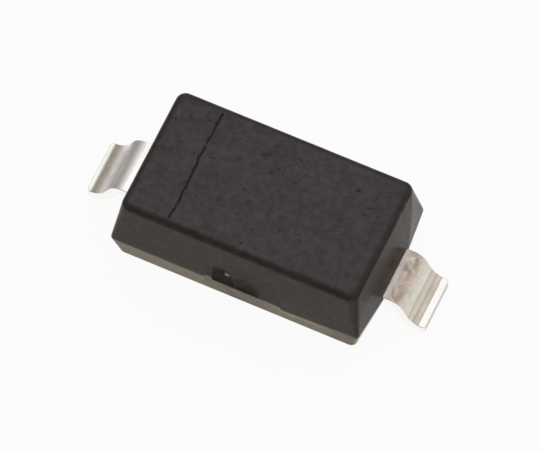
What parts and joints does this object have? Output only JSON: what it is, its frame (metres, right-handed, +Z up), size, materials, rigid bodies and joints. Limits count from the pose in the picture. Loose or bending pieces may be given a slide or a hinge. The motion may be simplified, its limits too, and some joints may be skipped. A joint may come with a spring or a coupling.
{
  "type": "switching diode",
  "caption": "Small moulded surface-mount diode with a drafted black epoxy body, a polarity bar across the top and a formed gull-wing lead at each end.",
  "frame": {"origin": "on the seating plane, level with the undersides of the two toes, below the middle of the moulding", "axes": "+X along the length from the cathode lead to the anode lead, +Y across the width, +Z up from the board through the top face"},
  "size_m": [0.0038, 0.0016, 0.001],
  "materials": {
    "epoxy": "satin mould-textured black epoxy",
    "tin_plate": "matte tin plating on a copper-alloy strip",
    "solder": "matte solder",
    "silicon": "polished silicon",
    "bond_metal": "bright drawn wire"
  },
  "bodies": {
    "root": {"moulded_body": "epoxy", "cathode_lead": "tin_plate", "anode_lead": "tin_plate", "die_attach": "solder", "silicon_die": "silicon", "bond_wire": "bond_metal"}
  },
  "joints": []
}
